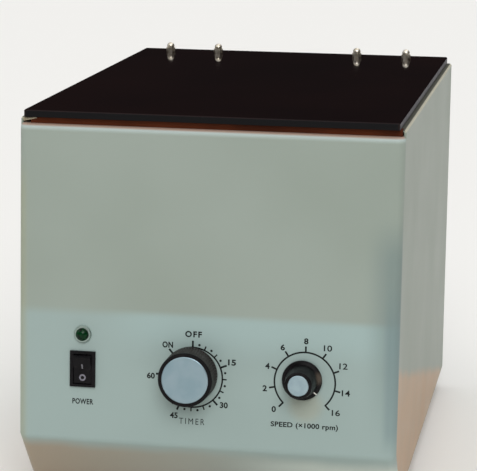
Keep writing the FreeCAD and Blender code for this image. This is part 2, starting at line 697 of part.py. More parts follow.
def power_rocker():
    # A paddle with two sloping faces on a cross pin. At rest its lower half is in: off.
    rise = 9 * TAN(ROCKER_TURN)
    outline = [(-0.9, 0), (-0.9 - rise, 9), (4.5, 9), (6.5, 4), (6.5, -4), (4.5, -9), (-0.9 - rise, -9)]
    paddle = prism_yz(outline, -5.2, 5.2).common(along_x(8.6, -6, 6, ROCKER_PIVOT, 0))
    paddle = paddle.fuse(along_x(1.2, -5.9, 5.9, ROCKER_PIVOT, 0))
    paddle.rotate(V(0, ROCKER_PIVOT, 0), V(1, 0, 0), ROCKER_TURN)
    return on_panel(paddle, SWITCH_U, SWITCH_V)


def lamp_bezel():
    # A plated ring with a tube through the panel, and the round nut that holds it from behind.
    ring = turned([(LENS_R, 0), (5.1, 0), (5.1, 0.9), (4.6, 1.6), (LENS_R, 1.6)])
    tube = turned([(LENS_R, 0), (LAMP_TUBE_R, 0), (LAMP_TUBE_R, -9), (LENS_R, -9)])
    nut = turned([(LAMP_TUBE_R, -4.5), (6.3, -4.5), (6.3, -1.5), (LAMP_TUBE_R, -1.5)])
    return on_panel(faces_front(ring.fuse(tube).fuse(nut)), LAMP_U, LAMP_V)


def lamp_lens():
    # A domed cylinder of clear green plastic.
    rise = 2.9
    dome = [(LENS_R * COS(11.25 * k), 1.6 + rise * SIN(11.25 * k)) for k in range(8)]
    lens = turned([(0, -12), (LENS_R, -12)] + dome + [(0, 1.6 + rise)])
    return on_panel(faces_front(lens), LAMP_U, LAMP_V)


def timer_body():
    # A clockwork timer: its case, a step that meets the panel, a threaded bush and two tags.
    case = plate(-22, 22, -22, 22, -38, -4.2, 3)
    step = box(-15, 15, -15, 15, -4.2, -SHEET - 0.3)
    bush = upright(5.0, -5, 3.2)
    body = case.fuse(step).fuse(bush).cut(upright(3.0 + CLEAR, -25, 4))
    tags = [box(s * 10 - 2.4, s * 10 + 2.4, -0.4, 0.4, -44, -38) for s in (-1, 1)]
    return on_panel(faces_front(joined(body, tags)), TIMER_U, TIMER_V)


def timer_nut():
    nut = hexagon(14, 0.3, 2.8).cut(upright(5.0, -1, 4))
    return on_panel(faces_front(nut), TIMER_U, TIMER_V)


def timer_shaft():
    return on_panel(faces_front(upright(3.0, -24, 13.5)), TIMER_U, TIMER_V)


def timer_knob():
    # A hollow moulding: a nearly straight grip with fine flutes, and a recess for its cap.
    points = [(0, 4.6), (9.5, 4.6), (9.5, 0.9), (15.4, 0.9), (15.8, 1.3), (15.8, 2.6)]
    points += [(15.5, 16.5), (15.2, 17.0), (TIMER_CAP_R, 17.0), (TIMER_CAP_R, 16.2), (0, 16.2)]
    knob = turned(points).cut(upright(3.0, 4, 13.5))
    knob = without(knob, around(box(15.3, 16.8, -0.35, 0.35, 2.6, 16.0), 60))
    return on_panel(faces_front(knob), TIMER_U, TIMER_V)


def timer_knob_cap():
    rim = TIMER_CAP_R
    disc = turned([(0, 16.2), (rim, 16.2), (rim, 16.9), (rim - 0.4, 17.2), (0, 17.2)])
    return on_panel(faces_front(disc), TIMER_U, TIMER_V)


def speed_pot_body():
    # A rotary control: its can, a step that meets the panel, a threaded bush and three tags.
    can = upright(12.0, -14, -SHEET - 1.4)
    step = upright(8.0, -SHEET - 1.4, -SHEET - 0.3)
    bush = upright(3.5, -2, 4.2)
    body = can.fuse(step).fuse(bush).cut(upright(3.0 + CLEAR, -9, 5))
    tags = [box(x - 1.2, x + 1.2, -18, -9.5, -6.4, -5.8) for x in (-5.0, 0.0, 5.0)]
    return on_panel(faces_front(joined(body, tags)), SPEED_U, SPEED_V)


def speed_pot_nut():
    nut = hexagon(10, 0.3, 2.6).cut(upright(3.5, -1, 4))
    return on_panel(faces_front(nut), SPEED_U, SPEED_V)


def speed_shaft():
    return on_panel(faces_front(upright(3.0, -8.5, 12.5)), SPEED_U, SPEED_V)


def speed_knob():
    # A skirt with a tapering fluted grip on it, and a recess for its cap.
    points = [(0, 4.8), (7.2, 4.8), (7.2, 0.9), (11.4, 0.9), (11.4, 2.2), (10.9, 2.8), (9.4, 3.2)]
    points += [(7.7, 15.4), (7.1, 16.0), (SPEED_CAP_R, 16.0), (SPEED_CAP_R, 15.4), (0, 15.4)]
    knob = turned(points).cut(upright(3.0, 4, 12.5))
    groove = Part.makeCylinder(0.55, 16, V(9.9, 0, 3.9), V(-1.75, 0, 12.2))
    return on_panel(faces_front(without(knob, around(groove, 24))), SPEED_U, SPEED_V)


def speed_knob_cap():
    rim = SPEED_CAP_R
    disc = turned([(0, 15.4), (rim, 15.4), (rim, 16.0), (rim - 0.3, 16.3), (0, 16.3)])
    return on_panel(faces_front(disc), SPEED_U, SPEED_V)


# The fittings on the rear and the base

def mains_inlet_body():
    # An appliance inlet: a flange with two screw holes, and a box with an eight-sided socket.
    def flange_corner(edge):
        a, b = ends(edge)
        return abs(a.y - b.y) > 1

    flange = rounded(box(-25, 25, 0, 3, -11.5, 11.5), 4.0, flange_corner)
    socket = [(-12.2, -8.2), (12.2, -8.2), (12.2, 4.2), (8.2, 8.2), (-8.2, 8.2), (-12.2, 4.2)]
    holes = [prism_xz(socket, -13.5, 4)]
    holes += [along_y(1.5, -1, 4, x, 0) for x in (-20, 20)]
    holes += [box(x - 1, x + 1, -30, -12, z - 2, z + 2) for x, z in PIN_PLACES]
    shell = without(flange.fuse(box(-13.8, 13.8, -22, 0, -9.8, 9.8)), holes)
    shell.translate(V(INLET_X, REAR_Y, INLET_Z))
    return shell


def mains_inlet_pins():
    # Live, neutral and earth: flat pins that end as tags behind the inlet.
    pins = separate([box(x - 1, x + 1, -28, -0.5, z - 2, z + 2) for x, z in PIN_PLACES])
    pins.translate(V(INLET_X, REAR_Y, INLET_Z))
    return pins


def fuse_holder():
    tube = upright(6.0, -28, 0).fuse(upright(8.0, 0, 2)).fuse(upright(8.5, -6, -SHEET))
    tag = box(-1.5, 1.5, -0.4, 0.4, -34, -27)
    return faces_rear(tube.cut(upright(4.0, -26, 3)).fuse(tag), FUSE_X, REAR_Y, FUSE_Z)


def fuse_cap():
    cap = upright(6.8, 2, 6.5).fuse(upright(4.0 - CLEAR, -8, 2))
    return faces_rear(cap.cut(box(-4.5, 4.5, -0.7, 0.7, 5.3, 7)), FUSE_X, REAR_Y, FUSE_Z)


def panel_screws():
    # Each head bears on what it holds: a hinge leaf, the inlet's flange, or the panel itself.
    screws = []
    for x, z in rear_screw_places():
        seat = REAR_Y
        if abs(z - (PIVOT_Z - 16)) < 0.01:
            seat += HINGE_LEAF
        if abs(z - INLET_Z) < 0.01:
            seat += 3
        screws.append(faces_rear(pan_screw(1.5, 7, 2.8, 2.0), x, seat, z))
    for y in (-60.0, 60.0):
        screws += [faces_down(pan_screw(1.5, 6, 2.8, 2.0), s * 88, y, BASE_Z) for s in (-1, 1)]
    return separate(screws)


def rubber_feet():
    # Tapering feet with a hollow underneath for the screw's head.
    profile = [(2.2, FOOT_H), (12, FOOT_H), (12, FOOT_H - 2), (10, 0.8), (9.2, 0), (5.2, 0)]
    profile += [(5.2, 5), (2.2, 5)]
    return separate([turned(profile, x, y) for x, y in foot_places()])


def foot_screws():
    return separate([faces_down(pan_screw(2.0, 14, 4.2, 2.8), x, y, 5) for x, y in foot_places()])


# The electronics and the wiring

def control_bracket():
    # An angle of sheet steel on the floor, with four standoffs for the board.
    wall_x = BOARD_X - 6.5
    foot = box(wall_x - 1.5, -72, -45, 75, FLOOR_TOP, FLOOR_TOP + 1.5)
    wall = box(wall_x - 1.5, wall_x, -45, 75, FLOOR_TOP, 125)
    posts = [along_x(3.0, wall_x, BOARD_X, y, z) for y in (-38.0, 68.0) for z in (38.0, 118.0)]
    holes = [upright(3.2, FLOOR_Z, FLOOR_TOP + 3, -88, y) for y in (-60.0, 60.0)]
    return without(joined(foot.fuse(wall), posts), holes)


def control_board():
    return box(BOARD_X, BOARD_X + BOARD_T, -42, 72, 34, 122)


def board_heatsink():
    x = BOARD_X + BOARD_T
    fins = [box(x + 3, x + 18.4, 12 + 8.5 * k, 14 + 8.5 * k, 70, 116) for k in range(7)]
    return joined(box(x, x + 3, 12, 66, 70, 116), fins)


def board_components():
    # Two large capacitors, a transformer, two terminal blocks, a relay and a small capacitor.
    x = BOARD_X + BOARD_T
    capacitors = [along_x(8.0, x, x + 24.4, -20, 52), along_x(6.0, x, x + 18.4, 2, 50)]
    transformer = box(x, x + 16.4, 20, 44, 40, 60)
    terminals = [box(x, x + 10.4, -38, -8, 100, 112), box(x, x + 10.4, 48, 68, 42, 54)]
    relay = box(x, x + 6.4, -34, -18, 72, 88)
    small = along_x(4.0, x, x + 12.4, -2, 78)
    return separate(capacitors + [transformer] + terminals + [relay, small])


def lead(points, radius):
    # A round wire along a smooth curve through the points.
    curve = Part.BSplineCurve()
    curve.interpolate([V(*p) for p in points])
    path = Part.Wire(curve.toShape())
    way = curve.tangent(curve.FirstParameter)[0]
    ring = Part.Wire(Part.makeCircle(radius, V(*points[0]), way))
    return path.makePipeShell([ring], True, True)


def wiring_mains():
    # Live and neutral, from the inlet along the right side of the floor and up to the switch.
    leads = []
    for k in (0, 1):
        d = 3.0 * k
        run = [(INLET_X + 7 - 14 * k, REAR_Y - 29.4, INLET_Z - 1.5)]
        run += [(INLET_X + 12 - 10 * k, REAR_Y - 38, 44 - d)]
        run += [(86 - d, 96, 26), (88 - d, 60, 21), (88 - d, 0, 20), (88 - d, -60, 20)]
        run += [(80 - d, -92 + d, 22), (40, -100 + d, 24), (-20, -100 + d, 24), (-56 - d, -104 + d, 32)]
        run += [(SWITCH_U + 4 - d, -114 + d, 60), (SWITCH_U + 1.5 - d, BEND_Y + 27, 78 + 8 * k)]
        leads.append(lead(run, 1.1))
    return separate(leads)


def wiring_controls():
    # From the control board to the timer, to the speed control and to a brush of the motor.
    to_timer = [(-83, -34, 106), (-76, -50, 100), (-50, -80, 92), (-24, -96, 90)]
    to_timer.append((TIMER_U - 10, -105.6, 88.5))
    to_speed = [(-83, -28, 103), (-70, -52, 108), (-30, -74, 116), (20, -86, 116), (50, -104, 96)]
    to_speed.append((SPEED_U, -126, 81.5))
    to_motor = [(-83, 54, 48), (-74, 52, 49), (-62, 34, 51), (-55, 14, 53), (-50.6, AXIS_Y, BRUSH_Z)]
    return separate([lead(run, 1.0) for run in (to_timer, to_speed, to_motor)])


def side_panel_left():
    return side_panel(-1)


def side_panel_right():
    return side_panel(1)


CASE = [front_panel, side_panel_left, side_panel_right, rear_panel, base_plate, top_deck, lid_front_seal]
CHAMBER = [chamber_bowl, chamber_mouth_trim, shaft_gland]
MOTOR = [motor_plate, shock_mounts, motor_end_bell_lower, motor_can, motor_end_bell_upper, motor_stator,
         motor_windings, motor_bearings, brush_holders, carbon_brushes]
SPINDLE = [motor_shaft, commutator, armature, cooling_fan, rotor_head, rotor_nut]
LID = [lid_plate, hinge_lid_leaves, hinge_fixed_leaves, hinge_pins, lid_screws, lid_acorn_nuts]
CONTROLS = [switch_housing, power_rocker, lamp_bezel, lamp_lens, timer_body, timer_nut, timer_shaft,
            timer_knob, timer_knob_cap, speed_pot_body, speed_pot_nut, speed_shaft, speed_knob,
            speed_knob_cap]
FITTINGS = [mains_inlet_body, mains_inlet_pins, fuse_holder, fuse_cap, panel_screws, rubber_feet,
            foot_screws]
ELECTRONICS = [control_bracket, control_board, board_heatsink, board_components, wiring_mains,
               wiring_controls]

for piece in CASE + CHAMBER + MOTOR + SPINDLE + LID + CONTROLS + FITTINGS + ELECTRONICS:
    piece().exportStep("parts/" + piece.__name__ + ".step")
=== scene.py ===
import json
import math

import bmesh
import bpy
from mathutils import Matrix, Vector

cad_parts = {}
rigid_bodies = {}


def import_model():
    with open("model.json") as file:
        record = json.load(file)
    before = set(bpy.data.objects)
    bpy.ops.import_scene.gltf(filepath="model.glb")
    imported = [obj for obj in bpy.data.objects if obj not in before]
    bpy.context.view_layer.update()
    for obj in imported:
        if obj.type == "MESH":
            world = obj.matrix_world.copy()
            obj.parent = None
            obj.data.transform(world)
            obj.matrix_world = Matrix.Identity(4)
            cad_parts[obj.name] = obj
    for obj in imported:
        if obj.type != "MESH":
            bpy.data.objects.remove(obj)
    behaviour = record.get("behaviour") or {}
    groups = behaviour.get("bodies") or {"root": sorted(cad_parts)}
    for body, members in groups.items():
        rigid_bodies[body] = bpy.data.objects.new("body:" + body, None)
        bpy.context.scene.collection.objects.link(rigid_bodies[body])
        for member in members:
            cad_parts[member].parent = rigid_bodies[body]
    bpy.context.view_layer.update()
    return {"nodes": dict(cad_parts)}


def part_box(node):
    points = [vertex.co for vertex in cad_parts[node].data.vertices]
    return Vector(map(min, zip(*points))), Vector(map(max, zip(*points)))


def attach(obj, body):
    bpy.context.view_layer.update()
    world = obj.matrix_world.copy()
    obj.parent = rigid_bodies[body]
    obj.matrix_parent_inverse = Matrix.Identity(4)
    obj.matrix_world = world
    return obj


for leftover in list(bpy.data.objects):
    bpy.data.objects.remove(leftover)
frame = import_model()


# The case: a front, two sides, a rear, a base and a deck, folded from 1.2 mm sheet steel, then
# sprayed with a grey-green enamel and baked. The gloss has a faint orange peel, the sheet isn't
# quite flat, and years on a bench have left chips on the edges. The brown low down is painted
# reflection of a brown bench, and several paler and darker tints are painted light and shade.
MM = 0.001


def linear(code):
    # An sRGB hex value as the linear colour that a socket wants.
    parts = [int(code[i:i + 2], 16) / 255 for i in (1, 3, 5)]
    return tuple(c / 12.92 if c <= 0.04045 else ((c + 0.055) / 1.055) ** 2.4 for c in parts) + (1.0,)


def add(tree, kind, settings=None, links=None):
    # One node. Settings are attributes or socket values; a link is a socket's (node, output).
    made = tree.nodes.new("ShaderNode" + kind)
    for key, value in (settings or {}).items():
        if isinstance(key, str) and hasattr(made, key):
            setattr(made, key, value)
        else:
            made.inputs[key].default_value = value
    for key, (source, output) in (links or {}).items():
        tree.links.new(source.outputs[output], made.inputs[key])
    return made


def new_finish(name, colour, **sockets):
    # A material whose constant values sit on the shader's own sockets.
    made = bpy.data.materials.new(name)
    made.use_nodes = True
    tree = made.node_tree
    shader = tree.nodes["Principled BSDF"]
    shader.inputs["Base Color"].default_value = linear(colour)
    for socket, value in sockets.items():
        shader.inputs[socket.replace("_", " ")].default_value = value
    return made, tree, shader, add(tree, "TexCoord")


def noise(tree, place, output, size_mm, detail):
    # Smooth noise with lumps of a real size.
    return add(tree, "TexNoise", {"Scale": 1 / (size_mm * MM), "Detail": detail}, {"Vector": (place, output)})


def relief(tree, height, output, depth_mm):
    # Turns a height pattern into a bump of a real depth.
    return add(tree, "Bump", {"Strength": 1.0, "Distance": depth_mm * MM}, {"Height": (height, output)})


def drift(tree, shader, place, low, high, patch_mm):
    # The colour wanders between two tints, over patches of a real size.
    patches = noise(tree, place, "Object", patch_mm, 2.0)
    ramp = add(tree, "ValToRGB", links={"Fac": (patches, "Fac")})
    ramp.color_ramp.interpolation = "EASE"
    ramp.color_ramp.elements[0].position = 0.3
    ramp.color_ramp.elements[0].color = linear(low)
    ramp.color_ramp.elements[1].position = 0.7
    ramp.color_ramp.elements[1].color = linear(high)
    tree.links.new(ramp.outputs["Color"], shader.inputs["Base Color"])
    return ramp


def gloss(tree, shader, place, low, high, patch_mm):
    # Roughness that varies between two values: handling marks and uneven polish.
    patches = noise(tree, place, "Object", patch_mm, 2.0)
    spread = add(tree, "MapRange", {"From Min": 0.3, "From Max": 0.7, "To Min": low, "To Max": high},
                 {"Value": (patches, "Fac")})
    tree.links.new(spread.outputs["Result"], shader.inputs["Roughness"])
    return spread


def grain(tree, shader, place, grain_mm, depth_mm, stretch=(1, 1, 1)):
    # Fine relief: bumps of a real size and depth, drawn out along an axis where it is brushed.
    turned = add(tree, "Mapping", {"Scale": stretch}, {"Vector": (place, "Object")})
    bump = relief(tree, noise(tree, turned, "Vector", grain_mm, 2.0), "Fac", depth_mm)
    tree.links.new(bump.outputs["Normal"], shader.inputs["Normal"])
    return bump


def nearing(tree, source, output, none_mm, full_mm):
    # Goes smoothly from 0 to 1 as a coordinate passes from one place to another.
    return add(tree, "MapRange", {"interpolation_type": "SMOOTHSTEP", "From Min": none_mm * MM,
                                  "From Max": full_mm * MM}, {"Value": (source, output)})


def both(tree, one, other):
    # Where two masks overlap.
    return add(tree, "Math", {"operation": "MULTIPLY"}, {0: (one, 0), 1: (other, 0)})


def tinted(tree, shader, below, below_output, mask, tint):
    # Lays a tint over the colour so far, where the mask says.
    laid = add(tree, "Mix", {"data_type": "RGBA", 7: linear(tint)}, {0: (mask, 0), 6: (below, below_output)})
    tree.links.new(laid.outputs[2], shader.inputs["Base Color"])
    return laid


def dress(material, *nodes):
    # Gives CAD pieces their material.
    for name in nodes:
        for held in frame["nodes"][name].material_slots:
            held.material = material


def sprayed(name, low, high):
    # The paint that every panel shares: its drift of colour, orange peel and the sheet's slow buckle.
    made, tree, shader, place = new_finish(name, "#98A299", Roughness=0.4, IOR=1.5, Specular_IOR_Level=0.22)
    gloss(tree, shader, place, 0.36, 0.43, 60)
    peel = grain(tree, shader, place, 1.6, 0.006)
    buckle = relief(tree, noise(tree, place, "Object", 70, 1.0), "Fac", 0.12)
    tree.links.new(buckle.outputs["Normal"], peel.inputs["Normal"])
    spot = add(tree, "SeparateXYZ", links={"Vector": (place, "Object")})
    return made, tree, shader, place, spot, drift(tree, shader, place, low, high, 120)


def less(tree, mask, share):
    # A mask at a share of its strength.
    return add(tree, "Math", {"operation": "MULTIPLY", 1: share}, {0: (mask, 0)})


def wavering(tree, place, source, output, slope, wander_mm):
    # A height that rises or sinks along another axis, with an edge that wanders.
    wander = noise(tree, place, "Object", 30, 3.0)
    height = add(tree, "Math", {"operation": "MULTIPLY_ADD", 1: slope},
                 {0: (source, output), 2: (source, "Z")})
    return add(tree, "Math", {"operation": "MULTIPLY_ADD", 1: wander_mm * MM},
               {0: (wander, "Fac"), 2: (height, 0)})


def chipped(tree, shader, place, below, edge):
    # Chips along an edge show the grey primer.
    flake = noise(tree, place, "Object", 2.5, 4.0)
    flaked = add(tree, "MapRange", {"From Min": 0.58, "From Max": 0.6}, {"Value": (flake, "Fac")})
    tinted(tree, shader, below, 2, both(tree, flaked, edge), "#6C6F6C")


# Places of the front's marks in millimetres: where each one starts, and where it is full.
LOW_EDGE = (16, 12.6)
LOWER_REFLECTION_TOP, BAND_TOP, BAND_FOOT, BAND_LEFT = (124, 117), (124, 118), (92, 114), (-70, -25)
YELLOW_LEFT, YELLOW_TOP = (-103, -108), (212, 186)
SHADE_RIGHT, SHADE_TOP, SHADE_FOOT = (88, 107), (186, 156), (40, 130)
BEND_RIGHT, BEND_TOP, BEND_FOOT = (100, 105.5), (150, 110), (44, 62)
GLOW_AT, GLOW = Vector((58.2, -153.5, 73.3)), (13, 5)
REFLECTION_TOP, REFLECTION_FADES = (49, 39), (-100, 70)
LIT_KICK_TOP, LIT_KICK_RIGHT = (46, 36), (0, 70)
BEND_HIGHLIGHT, SEAL_LINE_Z = (223.2, 225.8), (225.7, 226.9)

front_enamel, tree, shader, place, spot, colour = sprayed("front_enamel", "#959F95", "#9BA59C")
# Painted reflection: the front's lower half is a shade cooler and paler than its upper half, most of all
# where it starts, where the glossy paint mirrors its surroundings.
colour = tinted(tree, shader, colour, "Color", nearing(tree, spot, "Z", *LOWER_REFLECTION_TOP), "#9CADA9")
reflected_band = both(tree, nearing(tree, spot, "Z", *BAND_TOP), nearing(tree, spot, "Z", *BAND_FOOT))
reflected_band = both(tree, reflected_band, nearing(tree, spot, "X", *BAND_LEFT))
colour = tinted(tree, shader, colour, 2, reflected_band, "#A1B5B2")
# Its left end is a yellower tint.
yellower = both(tree, nearing(tree, spot, "X", *YELLOW_LEFT), nearing(tree, spot, "Z", *YELLOW_TOP))
colour = tinted(tree, shader, colour, 2, less(tree, yellower, 0.6), "#9FA38C")
# Painted shade and reflection: the right end is a little darker from half its height down, lower down only at
# the bend itself, where the rounded corner mirrors darker surroundings.
shade = both(tree, nearing(tree, spot, "X", *SHADE_RIGHT), nearing(tree, spot, "Z", *SHADE_TOP))
shade = both(tree, shade, nearing(tree, spot, "Z", *SHADE_FOOT))
colour = tinted(tree, shader, colour, 2, less(tree, shade, 0.72), "#798986")
bend_shade = both(tree, nearing(tree, spot, "X", *BEND_RIGHT), nearing(tree, spot, "Z", *BEND_TOP))
bend_shade = both(tree, bend_shade, nearing(tree, spot, "Z", *BEND_FOOT))
colour = tinted(tree, shader, colour, 2, less(tree, bend_shade, 0.5), "#75898B")
# Painted light: a paler, warmer patch under the speed knob lifts its shadow and stands in for light thrown up
# from a brown bench.
off_glow = add(tree, "VectorMath", {"operation": "DISTANCE", 1: GLOW_AT * MM}, {0: (place, "Object")})
painted_glow = less(tree, nearing(tree, off_glow, "Value", *GLOW), 0.6)
colour = tinted(tree, shader, colour, 2, painted_glow, "#A5A796")
# Painted reflection: below the bend a brown tint stands for a brown bench that the glossy paint mirrors,
# fading towards the right, where a pale tint is painted light that lifts the shade near the floor.
reach = wavering(tree, place, spot, "X", 0, 6)
fading_right = add(tree, "MapRange", {"From Min": REFLECTION_FADES[0] * MM, "From Max": REFLECTION_FADES[1] * MM,
                                 "To Min": 0.85, "To Max": 0.08}, {"Value": (spot, "X")})
colour = tinted(tree, shader, colour, 2, both(tree, nearing(tree, reach, 0, *REFLECTION_TOP), fading_right), "#A4917B")
lit_kick = both(tree, nearing(tree, reach, 0, *LIT_KICK_TOP), nearing(tree, spot, "X", *LIT_KICK_RIGHT))
colour = tinted(tree, shader, colour, 2, lit_kick, "#C0C9C0")
# Painted highlight: the top bend is pale where light from above catches it, with a brownish line where it
# meets the seal.
colour = tinted(tree, shader, colour, 2, nearing(tree, spot, "Z", *BEND_HIGHLIGHT), "#B2BFBB")
seal_line = less(tree, nearing(tree, spot, "Z", *SEAL_LINE_Z), 0.95)
colour = tinted(tree, shader, colour, 2, seal_line, "#AC9080")
chipped(tree, shader, place, colour, nearing(tree, spot, "Z", *LOW_EDGE))
dress(front_enamel, "front_panel")

# Places of the marks on the sides and the rear, in the same way.
SIDE_REFLECTION = (62, 53)
BESIDE_LID, ON_FLANGE = (105, 106.5), (229.9, 230.4)
BEND_ACROSS, BEND_UP = (108.9, 109.2), (229.1, 229.6)
REAR_ACROSS, REAR_ALONG = (108.8, 109.6), (161.2, 162.3)

# The sides, rear, base and deck share this copy of the paint, a shade darker than the front's: painted shade.
enamel, tree, shader, place, spot, colour = sprayed("baked_enamel", "#909A8E", "#969F94")
# Painted reflection: a brown tint stands for a brown bench that the sides' glossy paint mirrors; it sinks
# from a hand's breadth in front to nothing at the back.
reach = wavering(tree, place, spot, "Y", 0.263, 6)
reflection_patches = add(tree, "MapRange", {"From Min": 0.3, "From Max": 0.6, "To Min": 0.8, "To Max": 0.98},
            {"Value": (noise(tree, place, "Object", 22, 4.0), "Fac")})
bench_reflection = both(tree, nearing(tree, reach, 0, *SIDE_REFLECTION), reflection_patches)
colour = tinted(tree, shader, colour, "Color", bench_reflection, "#BE9D7C")
# Painted shadow darkens the angle beside the lid, under its overhang, and a painted cream highlight runs
# along the sides' top bends.
aside = add(tree, "Math", {"operation": "ABSOLUTE"}, {0: (spot, "X")})
shadow_beside_lid = both(tree, nearing(tree, aside, 0, *BESIDE_LID), nearing(tree, spot, "Z", *ON_FLANGE))
colour = tinted(tree, shader, colour, 2, less(tree, shadow_beside_lid, 0.9), "#46443A")
lit_top_bend = both(tree, nearing(tree, aside, 0, *BEND_ACROSS), nearing(tree, spot, "Z", *BEND_UP))
colour = tinted(tree, shader, colour, 2, lit_top_bend, "#C8C5B2")
upright_edge = both(tree, nearing(tree, aside, 0, *REAR_ACROSS), nearing(tree, spot, "Y", *REAR_ALONG))
low_edge = nearing(tree, spot, "Z", *LOW_EDGE)
edges = add(tree, "Math", {"operation": "MAXIMUM"}, {0: (low_edge, 0), 1: (upright_edge, 0)})
chipped(tree, shader, place, colour, edges)
dress(enamel, "side_panel_left", "side_panel_right", "rear_panel", "base_plate", "top_deck")


# The print on the front: dial scales and plain words, screen-printed in black ink on the enamel.
# The ink is a thin matt film that stands a few hundredths of a millimetre proud.
INK_T = 0.05
# The panel rises from its low bend and leans back.
TILT = math.radians(3)
BEND = Vector((0, -154.959, 45)) * MM
PANEL = Matrix.Translation(BEND) @ Matrix.Rotation(-TILT, 4, "X")
LAID_FLAT = Matrix.Rotation(math.pi / 2, 4, "X")


def on_panel(u, y, v):
    # A place on the front panel, in millimetres: across, out of the panel (minus), up the slope.
    return PANEL @ Matrix.Translation(Vector((u, y, v)) * MM)


def clockwise(angle):
    # A turn about a dial's axis, seen from the front.
    return Matrix.Rotation(math.radians(angle), 4, "Y")


def keep(shape, name, material, body, smooth=None):
    # Closes a bmesh into an object at the origin and puts it on its body.
    bmesh.ops.remove_doubles(shape, verts=shape.verts, dist=1e-7)
    bmesh.ops.recalc_face_normals(shape, faces=shape.faces)
    mesh = bpy.data.meshes.new(name)
    shape.to_mesh(mesh)
    shape.free()
    made = bpy.data.objects.new(name, mesh)
    bpy.context.scene.collection.objects.link(made)
    mesh.materials.append(material)
    if smooth is not None:
        mesh.shade_smooth()
        mesh.set_sharp_from_angle(angle=math.radians(smooth))
    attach(made, body)
    return made


def set_type(shape, words, wide, tall, thick, place, weight, spacing=1.0):
    # A line of type, fitted to a width and a height in millimetres and centred on its place. Its
    # weight is the millimetres that each stroke gains on either side before it is fitted.
    curve = bpy.data.curves.new(words, "FONT")
    curve.body = words
    curve.size = 1.4 * tall * MM
    curve.extrude = thick / 2 * MM
    curve.offset = weight * MM
    curve.space_character = spacing
    curve.resolution_u = 4
    typed = bpy.data.objects.new(words, curve)
    mesh = bpy.data.meshes.new_from_object(typed)
    xs = [v.co.x for v in mesh.vertices]
    ys = [v.co.y for v in mesh.vertices]
    middle = Vector(((min(xs) + max(xs)) / 2, (min(ys) + max(ys)) / 2, 0))
    fit = Vector((wide * MM / (max(xs) - min(xs)), tall * MM / (max(ys) - min(ys)), 1))
    mesh.transform(place @ Matrix.Diagonal(fit).to_4x4() @ Matrix.Translation(-middle))
    shape.from_mesh(mesh)
    bpy.data.objects.remove(typed)
    bpy.data.curves.remove(curve)
    bpy.data.meshes.remove(mesh)


def print_words(shape, words, wide, tall, u, v, weight, spacing=1.0):
    # A label, by its width and height and its middle across and up the panel.
    set_type(shape, words, wide, tall, INK_T, on_panel(u, -INK_T / 2, v) @ LAID_FLAT, weight, spacing)


def print_tick(shape, centre, angle, near, far, width):
    # A stroke that points out from a dial's centre; the angle runs clockwise from the top.
    place = on_panel(centre[0], -INK_T / 2, centre[1]) @ clockwise(angle)
    place = place @ Matrix.Translation(Vector((0, 0, (near + far) / 2)) * MM)
    size = Matrix.Diagonal(Vector((width, INK_T, far - near)) * MM).to_4x4()
    bmesh.ops.create_cube(shape, size=1.0, matrix=place @ size)


def print_dot(shape, centre, angle, radius, across):
    # A round dot beside a dial's ring.
    place = on_panel(centre[0], -INK_T / 2, centre[1]) @ clockwise(angle)
    place = place @ Matrix.Translation(Vector((0, 0, radius)) * MM) @ LAID_FLAT
    bmesh.ops.create_cone(shape, cap_ends=True, segments=16, radius1=across / 2 * MM,
                          radius2=across / 2 * MM, depth=INK_T * MM, matrix=place)


def print_arc(shape, centre, radius, width, start, turn):
    # A ring or an arc, spun from the cut through its line.
    place = on_panel(centre[0], 0, centre[1])
    outward = clockwise(start).to_3x3() @ Vector((0, 0, 1))
    corners = []
    for r, y in ((-0.5, 0), (0.5, 0), (0.5, -1), (-0.5, -1)):
        corner = (outward * (radius + r * width) + Vector((0, y * INK_T, 0))) * MM
        corners.append(shape.verts.new(place @ corner))
    cut = [shape.edges.new((corners[i], corners[(i + 1) % 4])) for i in range(4)]
    if turn < 360:
        shape.faces.new(corners)
    axis = PANEL.to_3x3() @ Vector((0, 1, 0))
    swept = bmesh.ops.spin(shape, geom=corners + cut, cent=place.translation, axis=axis,
                           angle=math.radians(turn), steps=int(turn / 4), use_merge=turn >= 360)
    if turn < 360:
        last = [e for e in swept["geom_last"] if isinstance(e, bmesh.types.BMVert)]
        bmesh.ops.contextual_create(shape, geom=last)


ink, tree, shader, place = new_finish(
    "screen_ink", "#0F1211", Roughness=0.55, IOR=1.5, Specular_IOR_Level=0.2)
drift(tree, shader, place, "#0B0E0D", "#181C1A", 4)
gloss(tree, shader, place, 0.48, 0.62, 3)

# The dials' numbers share one height and one weight.
TALL, BOLD = 3.5, 0.16

# The timer's ring, with a long tick each quarter of an hour and dots and ticks between.
RING, RING_R = (-7.2, 41.0), 17.4
MARKS, MARK_STEP = 25, 11.35
LONG_TICK_TO, SHORT_TICK_TO = 21.3, 19.9
ON_TICK, ON_TICK_TO = -41.0, 20.9
DOT_R, DOT_ACROSS = 19.3, 1.4
print_run = bmesh.new()
print_arc(print_run, RING, RING_R, 0.9, 0, 360)
for k in range(MARKS):
    if k % 6 == 0:
        print_tick(print_run, RING, MARK_STEP * k, RING_R, LONG_TICK_TO, 1.1)
    elif k % 2 == 0:
        print_tick(print_run, RING, MARK_STEP * k, RING_R, SHORT_TICK_TO, 0.8)
    else:
        print_dot(print_run, RING, MARK_STEP * k, DOT_R, DOT_ACROSS)
print_tick(print_run, RING, ON_TICK, RING_R, ON_TICK_TO, 1.1)
print_words(print_run, "OFF", 9.7, 3.6, -6.9, 66.0, 0.18, 1.25)
print_words(print_run, "ON", 6.2, 3.6, -21.8, 59.2, 0.18, 1.1)
for words, u, v in (("15", 15.6, 50.9), ("30", 11.3, 25.8), ("45", -17.7, 18.2), ("60", -31.4, 40.6)):
    print_words(print_run, words, 4.6, TALL, u, v, BOLD)
print_words(print_run, "TIMER", 14.8, TALL, -7.2, 15.2, -0.01, 1.4)
keep(print_run, "timer_scale_print", ink, "case")

